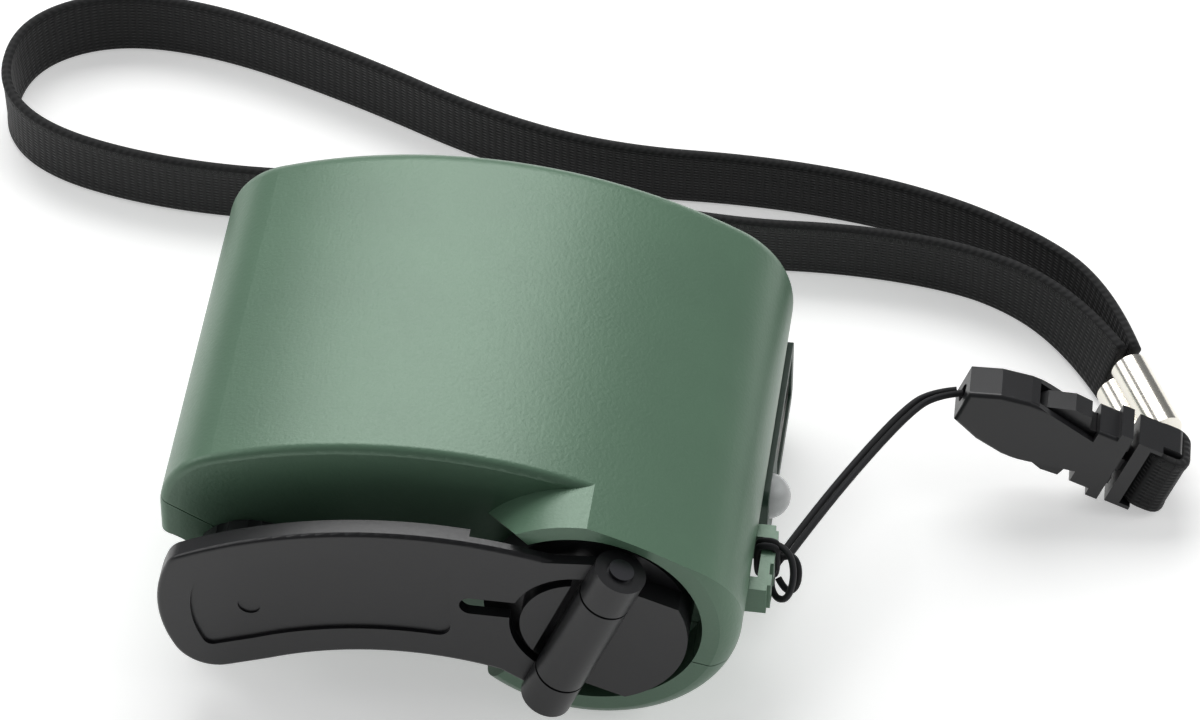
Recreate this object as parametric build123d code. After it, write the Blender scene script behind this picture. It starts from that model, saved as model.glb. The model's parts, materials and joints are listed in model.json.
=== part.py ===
from build123d import *
import math
import os

# A hand crank phone charger: a bean-shaped two-piece housing with a folding crank on its face,
# a gear train and a generator inside, a port panel at one end and a lanyard with a buckle.
#
# Everything is first placed from the crank shaft: x to the right of it, y behind the face of the
# hub, z above it. to_frame then moves it into the part's frame, whose origin is the middle of the
# housing's footprint on the table. All sizes are in millimetres and degrees.

# ---- housing: outline seen from the crank side -------------------------------------------------
body_length = 62.2
crown_height = 17.0          # top of the housing above the shaft
lobe_radius = 16.2           # round end about the shaft, which also stands on the table
shoulder_radius = 11.0
crown_radius = 60.0
left_top_radius = 9.0
left_lobe_radius = 9.5
waist_radius = 16.0
wall = 2.0

# ---- housing: depths behind the hub's face ------------------------------------------------------
lip_depth = 1.5
front_depth = 7.0
body_depth = 45.0
front_round = 0.9
back_round = 2.2

# ---- collar around the hub ----------------------------------------------------------------------
collar_bore_radius = 12.25
collar_lip_radius = 14.1
flare_depth = 3.4
flare_start_angle = 84.0
flare_full_angle = 45.0
flare_rise = 33.0            # slope of the ramp on which the flare leaves the crank face
opening_top_angle = 131.0
opening_low_angle = 228.0
opening_slant = 42.0

# ---- parting line between the shells ------------------------------------------------------------
seam_gap = 0.12
seam_left_height = 5.8
seam_fall = 31.0
seam_waist_height = -4.9
seam_right_height = -5.5
seam_step_start = 10.6
seam_step_end = 13.3

# ---- finger scoop behind the tip of the arm -----------------------------------------------------
scoop_radius = 7.0
scoop_length = 14.0
scoop_centre_x_out = 1.5     # the scoop's centre beyond the left end
scoop_centre_z = -6.0

# ---- crank hub and hinge ------------------------------------------------------------------------
hub_radius = 10.9
hub_island_radius = 6.75
hub_step_depth = 2.6
hub_thickness = 6.0
hub_flat_reach = 7.8
hinge_tilt = 20.8
hinge_axis_depth = -0.6
knuckle_radius = 2.8
mid_knuckle_half = 6.45
knuckle_gap = 0.3
outer_knuckle_end = 11.1
slot_beside_knuckle = 0.8
pin_radius = 0.8
pin_head_radius = 1.35
pin_head_height = 0.35
pin_fit = 0.04

# ---- crank arm ----------------------------------------------------------------------------------
arm_thickness = 2.2
arm_neck_thickness = 1.2
arm_cutout_radius = 7.85
arm_edge_round = 0.45
arm_chin_radius = 4.5
arm_brow_radius = 3.0
arm_slot_width = 2.4
arm_slot_reach = 13.1
arm_slot_height = 1.9
recess_depth = 0.35
recess_corner_radius = 1.4
recess_inset = 3.6

# ---- knob ---------------------------------------------------------------------------------------
knob_x = -35.5
knob_z = -2.0
knob_radius = 7.0
knob_height = 4.0
knob_gap = 0.3
knob_bore_radius = 2.0
rivet_radius = 1.95
rivet_head_radius = 3.2
rivet_head_height = 0.9

# ---- crank shaft and gear train -----------------------------------------------------------------
journal_radius = 3.0
shaft_radius = 1.5
bush_wall = 1.0
running_fit = 0.04
gear_module = 0.5
wheel_teeth = 36
pinion_teeth = 10
pressure_angle = 28.0
addendum = 0.8               # in modules
dedendum = 1.0               # in modules
backlash = 0.10
gear_width = 2.6
layer_pitch = 3.8
first_layer_depth = 12.0
idler_1_angle = 163.0
idler_2_angle = 179.0
generator_angle = 187.0
axle_radius = 1.0
plate_thickness = 2.0
standoff_radius = 2.6

# ---- generator ----------------------------------------------------------------------------------
generator_radius = 9.6
generator_length = 19.0
can_wall = 0.8
magnet_thickness = 1.5
magnet_gap = 0.4
armature_shaft_radius = 1.0
commutator_radius = 2.4

# ---- port end -----------------------------------------------------------------------------------
panel_face_x = 16.6
panel_thickness = 1.6
panel_front_depth = 23.6
panel_length = 24.4
panel_top = -3.2
panel_bottom = -12.2
usb_width = 13.1
usb_height = 5.7
usb_length = 14.0
usb_wall = 0.35
usb_centre_from_panel_back = 8.6
lamp_radius = 2.5
lamp_proud = 2.1
lamp_from_panel_front = 3.6
board_thickness = 1.6
board_width = 10.4

# ---- fasteners and seats ------------------------------------------------------------------------
boss_radius = 2.9
screw_core_radius = 0.9
screw_hole_radius = 1.15
screw_head_radius = 1.9
screw_head_height = 1.3
screw_seat = 3.0             # from the seam down to the head
screw_bite = 6.0
standoffs = ((8.5, 6.2), (-32.3, 11.0))
plate_screw_bite = 6.0
plate_screw_head_radius = 1.6
plate_screw_head_depth = 1.2
plate_edge_gap = 0.3
axle_boss_wall = 1.3
axial_gap = 0.4
idler_neck_radius = 1.85
bush_seat_radius = journal_radius + bush_wall
bush_near_depth = 6.4
bush_far_depth = 11.4
collar_clear_radius = 16.6
generator_boss_radius = 2.4
generator_screw_reach = 5.6
cap_thickness = 1.6
magnet_length = 13.0
magnet_side_gap = 2.4
core_length = 9.0
coil_slot_radius = 1.5

# ---- board and what it carries ------------------------------------------------------------------
pad_root_x = 8.0
board_bottom = -4.6
board_left_x = -14.2
board_over_usb = 10.0
board_screw_radius = 0.7
board_screw_bite = 3.0
usb_back_x = 2.3
usb_back_wall = 1.0
usb_tongue_width = 11.1
usb_tongue_thickness = 1.84
capacitor_radius = 3.15
capacitor_height = 11.0
capacitor_x = -6.6
lamp_z = -6.4
lamp_fit = 0.05
lamp_flange_radius = 2.9
lamp_flange_thickness = 1.0
lamp_back_x = 10.1
lamp_lead_room = 5.3
lamp_room = 1.2
lead_radius = 0.4
panel_corner_radius = 1.5
panel_fit = 0.1
rib_short = 0.6
screw_clearance = 0.2

# ---- lanyard lug --------------------------------------------------------------------------------
lug_front_depth = 9.4
lug_length = 9.3
lug_reach_x = 18.4
lug_top = -1.6
lug_bottom = -5.2
lug_hole_width = 1.2
lug_rib_height = 0.35
lug_bar_thickness = 1.15
lug_end_web = 1.8

# ---- lanyard: cord, buckle, sleeve and wrist strap ----------------------------------------------
strand_radius = 0.375
strap_thickness = 1.2
strap_width = 8.0
strap_lift = 0.1             # the strap's lower edge above the table
buckle_nose = (49.3, 17.9, 13.0)     # in the part's frame
buckle_turn = -1.7
buckle_pitch = 21.9
buckle_roll = -10.2
buckle_thickness = 5.4
nose_half_width = 2.0
socket_half_width = 3.9
socket_length = 18.4
flange_start = 17.0
flange_half_width = 4.6
plug_start = 19.2
plug_end = 24.5
plug_half_width = 4.35
socket_wall = 0.9
webbing_slot_start = 20.8
webbing_slot_length = 1.4
webbing_half_width = 3.8
webbing_clear = 0.1
latch_thickness = 0.9
latch_gap = 0.25
latch_head_start = 8.0
latch_head_end = 13.5
latch_root = 18.9
latch_line = 2.0             # the latch arm's inner face from the buckle's middle
sleeve_length = 9.7
sleeve_gap = 1.1             # room for the sleeve's slanted end behind the webbing
sleeve_lobe_radius = 2.1
sleeve_lobe_spread = 1.8

left_end = lobe_radius - body_length
back_depth = front_depth + body_depth
centre_distance = gear_module * (wheel_teeth + pinion_teeth) / 2


# ---- small helpers ------------------------------------------------------------------------------
def slab(outline, near, far):
    """A flat outline in x and z, made solid from one depth to another."""
    return extrude(Plane.XZ.offset(-far) * outline, amount=far - near)


def rod(radius, near, far, x=0.0, z=0.0):
    """A round bar along the depth."""
    return slab(Pos(x, z) * Circle(radius), near, far)


def block(x0, x1, y0, y1, z0, z1):
    """A box from its six limits."""
    return Pos((x0 + x1) / 2, (y0 + y1) / 2, (z0 + z1) / 2) * Box(x1 - x0, y1 - y0, z1 - z0)


def along_x(radius, x0, x1, y, z):
    """A round bar along x."""
    return Pos((x0 + x1) / 2, y, z) * Rot(0, 90, 0) * Cylinder(radius, x1 - x0)


def upright(radius, z0, z1, x, y):
    """A round bar that stands upright."""
    return Pos(x, y, (z0 + z1) / 2) * Cylinder(radius, z1 - z0)


def on_circle(centre, radius, degrees):
    turn = math.radians(degrees)
    return (centre[0] + radius * math.cos(turn), centre[1] + radius * math.sin(turn))


def toward(start, end, distance):
    """The point at a distance from start on the line to end."""
    span = math.dist(start, end)
    return tuple(a + (b - a) * distance / span for a, b in zip(start, end))


def bow(centre, radius, start, end, middle_degrees):
    """An arc between two points of a circle, past the given direction."""
    return ThreePointArc(start, on_circle(centre, radius, middle_degrees), end)


def direction(centre, point):
    return math.degrees(math.atan2(point[1] - centre[1], point[0] - centre[0]))


def meet(centre_a, reach_a, centre_b, reach_b):
    """The lower of the two points at the given distances from two centres."""
    span = math.dist(centre_a, centre_b)
    along = (reach_a**2 - reach_b**2 + span**2) / (2 * span)
    across = math.sqrt(reach_a**2 - along**2)
    ux = (centre_b[0] - centre_a[0]) / span
    uz = (centre_b[1] - centre_a[1]) / span
    points = [
        (centre_a[0] + ux * along - side * uz * across, centre_a[1] + uz * along + side * ux * across)
        for side in (1, -1)
    ]
    return min(points, key=lambda p: p[1])


# ---- housing ------------------------------------------------------------------------------------
def housing_outline(inset=0.0):
    """The bean outline, or the same drawn in by a wall, as six tangent arcs and a short line."""
    shoulder = (lobe_radius - shoulder_radius, 0.0)
    rise = crown_radius - crown_height
    run = math.sqrt((crown_radius - shoulder_radius) ** 2 - rise**2)
    crown = (shoulder[0] - run, -rise)
    left_top_x = left_end + left_top_radius
    left_top_span = math.sqrt((crown_radius - left_top_radius) ** 2 - (left_top_x - crown[0]) ** 2)
    left_top = (left_top_x, crown[1] + left_top_span)
    left_lobe = (left_end + left_lobe_radius, -lobe_radius + left_lobe_radius)
    shaft = (0.0, 0.0)
    waist = meet(shaft, lobe_radius + waist_radius, left_lobe, left_lobe_radius + waist_radius)

    lobe_r = lobe_radius - inset
    shoulder_r = shoulder_radius - inset
    crown_r = crown_radius - inset
    left_top_r = left_top_radius - inset
    left_lobe_r = left_lobe_radius - inset
    waist_r = waist_radius + inset

    right = (lobe_r, 0.0)
    crown_right = toward(crown, shoulder, crown_r)
    crown_left = toward(crown, left_top, crown_r)
    left_high = (left_end + inset, left_top[1])
    left_low = (left_end + inset, left_lobe[1])
    waist_left = toward(left_lobe, waist, left_lobe_r)
    waist_right = toward(shaft, waist, lobe_r)
    edges = [
        bow(shoulder, shoulder_r, right, crown_right, direction(crown, shoulder) / 2),
        bow(crown, crown_r, crown_right, crown_left, 90),
        bow(left_top, left_top_r, crown_left, left_high, 150),
        Line(left_high, left_low),
        bow(left_lobe, left_lobe_r, left_low, waist_left, -110),
        bow(waist, waist_r, waist_left, waist_right, 90),
        bow(shaft, lobe_r, waist_right, right, -60),
    ]
    return make_face(edges)


def flare_ramp():
    """The start of the flare: all that lies behind a ramp that rises from the crank face."""
    start = on_circle((0, 0), collar_lip_radius, flare_start_angle)
    turn = math.radians(flare_start_angle)
    rise = math.radians(flare_rise)
    behind = (math.sin(turn) * math.sin(rise), math.cos(rise), -math.cos(turn) * math.sin(rise))
    ramp = Plane(origin=(start[0], front_depth, start[1]), z_dir=behind)
    under_ramp = extrude(ramp * Rectangle(120, 120), amount=60)
    first_stretch = slab(
        make_face(Polyline((0, 0), on_circle((0, 0), 60, flare_start_angle),
                           on_circle((0, 0), 60, flare_full_angle), (0, 0))),
        lip_depth, front_depth + wall,
    )
    return under_ramp & first_stretch


def collar():
    """The ring that stands on the crank face around the hub, flared into the round end."""
    ring = rod(collar_lip_radius, lip_depth, front_depth + wall)
    rounding = lobe_radius - collar_lip_radius
    flare_outline = make_face(
        [
            Line((collar_bore_radius, lip_depth), (collar_lip_radius, lip_depth)),
            ThreePointArc(
                (collar_lip_radius, lip_depth),
                (collar_lip_radius + rounding * math.sin(math.radians(45)),
                 lip_depth + flare_depth * (1 - math.cos(math.radians(45)))),
                (lobe_radius, lip_depth + flare_depth),
            ),
            Line((lobe_radius, lip_depth + flare_depth), (lobe_radius, front_depth + wall)),
            Line((lobe_radius, front_depth + wall), (collar_bore_radius, front_depth + wall)),
            Line((collar_bore_radius, front_depth + wall), (collar_bore_radius, lip_depth)),
        ]
    )
    flare = revolve(flare_outline, Axis.Y, revolution_arc=360)
    sweep_to_low_end = slab(
        make_face(Polyline((0, 0), on_circle((0, 0), 50, flare_full_angle), (40, -40), (-40, -40),
                           on_circle((0, 0), 40, opening_low_angle), (0, 0))),
        lip_depth, front_depth + wall,
    )
    flare = flare & (sweep_to_low_end + flare_ramp())
    return (ring + flare) & slab(housing_outline(), lip_depth, front_depth + wall)


def collar_opening():
    """The gap in the collar that the folded arm lies in; its upper end face is slanted."""
    top = on_circle((0, 0), collar_lip_radius, opening_top_angle)
    turn = math.radians(opening_top_angle + 90)
    lean = math.radians(opening_slant)
    into = (math.cos(turn) * math.cos(lean), -math.sin(lean), math.sin(turn) * math.cos(lean))
    middle_depth = (lip_depth + front_depth) / 2
    above = Plane(origin=(top[0], middle_depth, top[1]), z_dir=into)
    below_top = extrude(above * Rectangle(120, 120), amount=60)
    low = slab(
        make_face(Polyline((0, 0), on_circle((0, 0), 60, 90), (-60, 60),
                           on_circle((0, 0), 80, opening_low_angle), (0, 0))),
        lip_depth - 1, front_depth,
    )
    return below_top & low


def scoop(margin=0.0):
    """The finger scoop at the left end, or the same with a wall around it."""
    x = left_end - scoop_centre_x_out
    far = front_depth + scoop_length + margin
    shape = rod(scoop_radius + margin, front_depth - 2, far, x, scoop_centre_z)
    return shape


def above_seam(gap):
    """Everything over the parting line, as a block cut by the line's bent outline."""
    fall = math.tan(math.radians(seam_fall))
    bend_x = left_end + (seam_left_height - seam_waist_height) / fall
    far_left = left_end - 10
    half = gap / 2
    path = [
        (far_left, seam_left_height + 10 * fall + half),
        (bend_x, seam_waist_height + half),
        (seam_step_start, seam_waist_height + half),
        (seam_step_end, seam_right_height + half),
        (lobe_radius + 20, seam_right_height + half),
    ]
    outline = make_face(Polyline(*path, (lobe_radius + 20, 60), (far_left, 60), path[0]))
    return slab(outline, -10, back_depth + 10)


def gear_places():
    """The centres of the two idlers and of the generator."""
    first = on_circle((0, 0), centre_distance, idler_1_angle)
    second = on_circle(first, centre_distance, idler_2_angle)
    third = on_circle(second, centre_distance, generator_angle)
    return first, second, third


def layer(index):
    """The near depth of a layer of gears."""
    return first_layer_depth + index * layer_pitch


plate_near = layer(3)
plate_far = plate_near + plate_thickness
screw_x = (-17.5, -2.0)
screw_y = (plate_far + 4.2, back_depth - wall - 3.4)
seam_floor = seam_waist_height - seam_gap / 2
seam_roof = seam_waist_height + seam_gap / 2
panel_seat_x = panel_face_x - panel_thickness
panel_far_depth = panel_front_depth + panel_length
usb_y = panel_far_depth - usb_centre_from_panel_back
usb_top = board_bottom
usb_z = usb_top - usb_height / 2
lamp_y = panel_front_depth + lamp_from_panel_front
board_front_y = screw_y[0] + boss_radius + 0.4
rib_places = (-12.6, -0.6)
rib_thickness = 2.0


def port_pad(drawn_in=0.0):
    """The flat-faced block at the round end that the port panel is seated on."""
    return block(pad_root_x, panel_seat_x - drawn_in, panel_front_depth + drawn_in, panel_far_depth - drawn_in,
                 panel_bottom + drawn_in, panel_top - drawn_in)


def panel_pocket():
    """The shallow pocket that the port panel is let into."""
    return block(panel_seat_x, lobe_radius + 2, panel_front_depth - panel_fit, panel_far_depth + panel_fit,
                 panel_bottom - panel_fit, panel_top + panel_fit)


def lug():
    """The ribbed bar that the lanyard is hitched on, and the hole behind it."""
    y0 = lug_front_depth
    y1 = y0 + lug_length
    bar = block(lobe_radius - wall, lug_reach_x - lug_rib_height, y0, y1, lug_bottom, lug_top)
    rib_width = lug_length / 6
    for place in (0.5, 2.5, 4.5):
        start = y0 + place * rib_width
        bar += block(lobe_radius, lug_reach_x, start, start + rib_width, lug_bottom, lug_top)
    hole_x = lug_reach_x - lug_rib_height - lug_bar_thickness - lug_hole_width
    hole = block(hole_x, hole_x + lug_hole_width, y0 + lug_end_web, y1 - lug_end_web,
                 lug_bottom - 1, lug_top + 1)
    return bar, hole


def screw_boss(x, y):
    """One upper boss that a shell screw bites into, from the seam to the crown."""
    return upright(boss_radius, seam_roof, crown_height, x, y)


def screw_post(x, y):
    """The lower post under a boss, from the seam down to the floor."""
    return upright(boss_radius, -lobe_radius, seam_floor, x, y)


def housing_body():
    """The outer form of both shells together: the rounded bean and the opened collar."""
    plain = slab(housing_outline(), front_depth, back_depth)
    back_rim = plain.edges().filter_by(lambda e: abs(e.center().Y - back_depth) < 0.001)
    body = fillet(back_rim, back_round)
    front_rim = body.edges().filter_by(lambda e: abs(e.center().Y - front_depth) < 0.001)
    body = fillet(front_rim, front_round)
    ring = collar() - rod(collar_bore_radius, lip_depth - 1, front_depth)
    return body + (ring - collar_opening())


def housing_hollow():
    """The inside of the housing before its bosses are added."""
    return slab(housing_outline(wall), front_depth + wall, back_depth - wall)


def within_walls():
    """The inside of the housing and half of its wall, which bosses are trimmed to."""
    return slab(housing_outline(wall / 2), front_depth + wall / 2, back_depth - wall / 2)


def make_upper_shell():
    """The upper shell, with the gear bosses, the screw bosses and the lanyard lug."""
    shell = (housing_body() & above_seam(seam_gap)) - housing_hollow()
    first, second, _ = gear_places()
    shell += rod(bush_seat_radius + wall, front_depth + wall / 2, bush_far_depth) & above_seam(seam_gap)
    shell += rod(axle_radius + axle_boss_wall, front_depth + wall / 2, layer(0) - axial_gap, *first)
    shell += rod(axle_radius + axle_boss_wall, front_depth + wall / 2, layer(1) - axial_gap, *second)
    for place in standoffs:
        shell += rod(standoff_radius, layer(1) - axial_gap, plate_near, *place) & within_walls()
        shell -= rod(screw_core_radius, plate_near - plate_screw_bite, plate_near + 1, *place)
    shell -= rod(bush_seat_radius, front_depth - 1, bush_far_depth + 1)
    for place in (first, second):
        shell -= rod(axle_radius, front_depth + wall / 2, plate_near, *place)
    for x in screw_x:
        for y in screw_y:
            shell += screw_boss(x, y) & within_walls()
            shell -= upright(screw_core_radius, seam_floor - 1, seam_roof + screw_bite, x, y)
    shell -= panel_pocket()
    shell -= panel_openings()
    lug_bar, lug_hole = lug()
    return shell + lug_bar - lug_hole


def make_lower_shell():
    """The lower shell, with the scoop, the screw posts, the board's ribs and the panel's seat."""
    below = above_seam(-seam_gap)
    shell = housing_body() - below
    shell -= housing_hollow() - scoop(wall)
    shell -= scoop()
    shell += port_pad() - housing_hollow() - port_pad(wall) - below
    for x in screw_x:
        for y in screw_y:
            shell += screw_post(x, y) & within_walls()
            shell -= upright(screw_hole_radius, -lobe_radius, seam_roof, x, y)
            shell -= upright(screw_head_radius + screw_clearance, -lobe_radius - 1, seam_floor - screw_seat, x, y)
    for x in rib_places:
        rib = block(x - rib_thickness / 2, x + rib_thickness / 2, board_front_y + rib_short,
                    board_front_y + board_width - rib_short, -lobe_radius, board_bottom)
        shell += rib & within_walls()
        shell -= upright(board_screw_radius, board_bottom - board_screw_bite, board_bottom + 1,
                         x, board_front_y + board_width / 2)
    shell -= panel_pocket()
    return shell - panel_openings()


def panel_openings():
    """The ways through the pad and the panel for the USB socket and the lamp."""
    clear = 0.2
    socket_way = block(pad_root_x, panel_face_x + 1, usb_y - usb_width / 2 - clear, usb_y + usb_width / 2 + clear,
                       usb_z - usb_height / 2 - clear, usb_z + usb_height / 2 + clear)
    lamp_way = along_x(lamp_radius + lamp_fit, pad_root_x, panel_face_x + 1, lamp_y, lamp_z)
    flange_way = along_x(lamp_flange_radius + lamp_room / 4, pad_root_x, lamp_back_x + lamp_room, lamp_y, lamp_z)
    return socket_way + lamp_way + flange_way


def make_port_panel():
    panel = block(panel_seat_x, panel_face_x, panel_front_depth, panel_far_depth, panel_bottom, panel_top)
    corners = panel.edges().filter_by(Axis.X)
    panel = fillet(corners, panel_corner_radius)
    return panel - panel_openings()


def make_shell_screws():
    """Four screws up through the lower posts into the bosses."""
    screws = []
    for x in screw_x:
        for y in screw_y:
            seat = seam_floor - screw_seat
            shank = upright(screw_core_radius, seat, seam_roof + screw_bite - 0.5, x, y)
            head = upright(screw_head_radius, seat - screw_head_height, seat, x, y)
            slot = block(x - 1.3, x + 1.3, y - 0.25, y + 0.25, seat - screw_head_height - 1,
                         seat - screw_head_height + 0.5)
            screws.append(shank + head - slot)
    return screws


# ---- crank --------------------------------------------------------------------------------------
tilt = math.radians(hinge_tilt)
hinge_direction = (math.sin(tilt), 0, math.cos(tilt))
across_hinge = Rot(0, hinge_tilt, 0)


def knuckle(start, end):
    """A hinge knuckle between two places along the hinge line, measured from the shaft."""
    return across_hinge * upright(knuckle_radius, start, end, 0, hinge_axis_depth)


def beside_hinge(v0, v1, y0, y1, u0, u1):
    """A box set square to the hinge: v across it to the right, u along it upwards."""
    return across_hinge * block(v0, v1, y0, y1, u0, u1)


def hinge_bore(radius, start, end):
    return across_hinge * upright(radius, start, end, 0, hinge_axis_depth)


def make_hub():
    """The stepped disc in the collar: a half moon, an island and the middle knuckle between them."""
    base = rod(hub_radius, hub_step_depth, hub_thickness)
    half_moon = rod(hub_radius, 0, hub_step_depth)
    half_moon &= beside_hinge(0, 20, -1, hub_step_depth, -hub_flat_reach, hub_flat_reach)
    half_moon -= beside_hinge(-1, knuckle_radius + knuckle_gap, -1, hub_step_depth, mid_knuckle_half, 20)
    half_moon -= beside_hinge(-1, knuckle_radius + knuckle_gap, -1, hub_step_depth, -20, -mid_knuckle_half)
    island = rod(hub_island_radius, 0, hub_step_depth)
    island &= beside_hinge(-20, -knuckle_radius - slot_beside_knuckle, -1, hub_step_depth, -20, 20)
    middle = knuckle(-mid_knuckle_half, mid_knuckle_half)
    web = beside_hinge(-2.2, 2.2, hinge_axis_depth, hub_step_depth, -mid_knuckle_half, mid_knuckle_half)
    hub = base + half_moon + island + middle + web
    hub -= hinge_bore(pin_radius, -mid_knuckle_half - 1, mid_knuckle_half + 1)
    hub -= rod(journal_radius, hub_step_depth + 0.6, hub_thickness + 1)
    return hub


def make_hinge_pin():
    pin = hinge_bore(pin_radius, -outer_knuckle_end + 0.4, outer_knuckle_end)
    head = hinge_bore(pin_head_radius, outer_knuckle_end, outer_knuckle_end + pin_head_height)
    return pin + head


def arm_outline():
    """The arm's outline: a long crown, a round tip, a hollow belly and two lugs at the hinge."""
    neck_top = (-3.2, 9.9)
    top_lug = (2.0, 10.4)
    low_lug = (-5.2, -10.2)
    neck_low = (-8.9, -7.85)
    belly_end = (-33.6, -10.0)
    chin = (-41.4, -13.0)
    brow = (-43.6, 4.4)
    edges = [
        ThreePointArc(brow, (-23.0, 11.2), neck_top),
        Line(neck_top, top_lug),
        Line(top_lug, low_lug),
        Line(low_lug, neck_low),
        ThreePointArc(neck_low, (-19.0, -6.7), belly_end),
        Line(belly_end, chin),
        ThreePointArc(chin, (-45.3, -3.6), brow),
    ]
    outline = make_face(edges)
    outline = fillet(outline.vertices().sort_by_distance((*chin, 0))[0], arm_chin_radius)
    return fillet(outline.vertices().sort_by_distance((*brow, 0))[0], arm_brow_radius)


def make_arm():
    """The folding crank arm: plate, recess, cut-out around the hub's island, slot and knuckles."""
    plate = slab(arm_outline(), 0, arm_thickness)
    face_rim = plate.edges().filter_by(lambda e: abs(e.center().Y) < 0.001 and e.center().X < -knuckle_radius)
    plate = fillet(face_rim, arm_edge_round)
    recess = slab(offset(arm_outline(), -recess_inset), -1, recess_depth)
    recess &= block(left_end, -arm_slot_reach - 1.0, -2, 2, -20, 20)
    recess = fillet(recess.edges().filter_by(Axis.Y).sort_by(Axis.X)[-2:], recess_corner_radius)
    plate -= recess
    plate -= rod(collar_clear_radius, arm_neck_thickness, arm_thickness + 1)
    plate -= rod(arm_cutout_radius, -1, arm_thickness + 1)
    slot_end = -arm_slot_reach + arm_slot_width / 2
    plate -= rod(arm_slot_width / 2, -1, arm_thickness + 1, slot_end, arm_slot_height)
    plate -= block(slot_end, 0, -1, arm_thickness + 1, arm_slot_height - arm_slot_width / 2,
                   arm_slot_height + arm_slot_width / 2)
    first = mid_knuckle_half + knuckle_gap
    plate -= beside_hinge(-knuckle_radius - slot_beside_knuckle, 20, -1, arm_thickness + 1, -first, first)
    arm = plate
    for start, end in ((first, outer_knuckle_end), (-outer_knuckle_end, -first)):
        arm -= beside_hinge(0, 20, -1, arm_thickness + 1, start - 1, end + 9)
        arm += knuckle(start, end)
        arm -= hinge_bore(pin_radius + pin_fit, start - 1, end + 1)
    arm -= rod(rivet_radius - 0.75, -1, arm_thickness + 1, knob_x, knob_z)
    return arm


def make_knob():
    """A low round finger knob with a grip ring, which turns on its rivet."""
    near = arm_thickness + knob_gap
    knob = rod(knob_radius, near, near + knob_height, knob_x, knob_z)
    rims = knob.edges().filter_by(GeomType.CIRCLE)
    knob = fillet(rims, 0.6)
    knob -= rod(knob_bore_radius, near - 1, near + knob_height + 1, knob_x, knob_z)
    knob -= rod(rivet_head_radius + 0.2, near + knob_height - rivet_head_height - 0.3, near + knob_height + 1,
                knob_x, knob_z)
    for place in range(12):
        x, z = on_circle((knob_x, knob_z), knob_radius + 0.5, place * 30)
        knob -= rod(0.9, near - 1, near + knob_height + 1, x, z)
    return knob


def make_rivet():
    """The shouldered rivet that carries the knob on the arm's inner face."""
    near = arm_thickness
    head_near = near + knob_gap + knob_height - rivet_head_height - 0.1
    rivet = rod(rivet_radius - 0.75, recess_depth + 0.2, near, knob_x, knob_z)
    rivet += rod(rivet_radius, near, head_near, knob_x, knob_z)
    rivet += rod(rivet_head_radius, head_near, head_near + rivet_head_height, knob_x, knob_z)
    return rivet


# ---- gear train ---------------------------------------------------------------------------------
def tooth_flank(teeth, thinner):
    """Half a tooth: pairs of radius and half angle from root to tip, on an involute."""
    pitch_r = gear_module * teeth / 2
    base_r = pitch_r * math.cos(math.radians(pressure_angle))
    tip_r = pitch_r + addendum * gear_module
    root_r = pitch_r - dedendum * gear_module
    pitch_roll = math.tan(math.radians(pressure_angle)) - math.radians(pressure_angle)
    half_at_pitch = math.pi / (2 * teeth) - thinner / (2 * pitch_r)
    low_r = max(base_r, root_r)
    flank = []
    for step in range(4):
        r = low_r + (tip_r - low_r) * step / 3
        roll = math.acos(min(1.0, base_r / r))
        flank.append((r, half_at_pitch + pitch_roll - (math.tan(roll) - roll)))
    if root_r < low_r:
        flank.insert(0, (root_r, flank[0][1]))
    return flank


def gear(teeth, tooth_direction, near, centre):
    """A spur gear with one tooth centred on a direction."""
    flank = tooth_flank(teeth, backlash / 2)
    points = []
    for index in range(teeth):
        middle = math.radians(tooth_direction) + 2 * math.pi * index / teeth
        both = [(r, -a) for r, a in flank] + [(r, a) for r, a in reversed(flank)]
        points += [(centre[0] + r * math.cos(middle + a), centre[1] + r * math.sin(middle + a)) for r, a in both]
    return slab(make_face(Polyline(*points, points[0])), near, near + gear_width)


def gear_pair_directions():
    """The directions from each wheel to the pinion that it drives."""
    first, second, third = gear_places()
    return direction((0, 0), first), direction(first, second), direction(second, third)


def pinion_phase(driving_direction):
    return driving_direction + 180 + 180 / pinion_teeth


def make_drive_gear():
    to_first, _, _ = gear_pair_directions()
    return gear(wheel_teeth, to_first, layer(0), (0, 0)) - rod(shaft_radius, 0, plate_far)


def make_idler(index):
    """A pinion and a wheel in one moulding, on an axle between the housing and the plate."""
    centre = gear_places()[index]
    directions = gear_pair_directions()
    idler = gear(pinion_teeth, pinion_phase(directions[index]), layer(index), centre)
    idler += rod(idler_neck_radius, layer(index) + gear_width / 2, layer(index + 1) + gear_width / 2, *centre)
    idler += gear(wheel_teeth, directions[index + 1], layer(index + 1), centre)
    return idler - rod(axle_radius + running_fit, 0, plate_far, *centre)


def make_axle(index):
    return rod(axle_radius, front_depth + wall / 2, plate_far, *gear_places()[index])


def make_crank_shaft():
    journal = rod(journal_radius, hub_step_depth + 0.6, layer(0))
    tail = rod(shaft_radius, layer(0), plate_far + 1.2)
    return journal + tail


def make_shaft_clip():
    return rod(shaft_radius + 1.6, plate_far + 0.2, plate_far + 0.9) - rod(shaft_radius, 0, 60)


def make_front_bush():
    sleeve = rod(bush_seat_radius, bush_near_depth, bush_far_depth)
    return sleeve - rod(journal_radius + running_fit, 0, 60)


def make_rear_bush():
    sleeve = rod(shaft_radius + bush_wall, plate_near, plate_far)
    return sleeve - rod(shaft_radius + running_fit, 0, 60)


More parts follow.
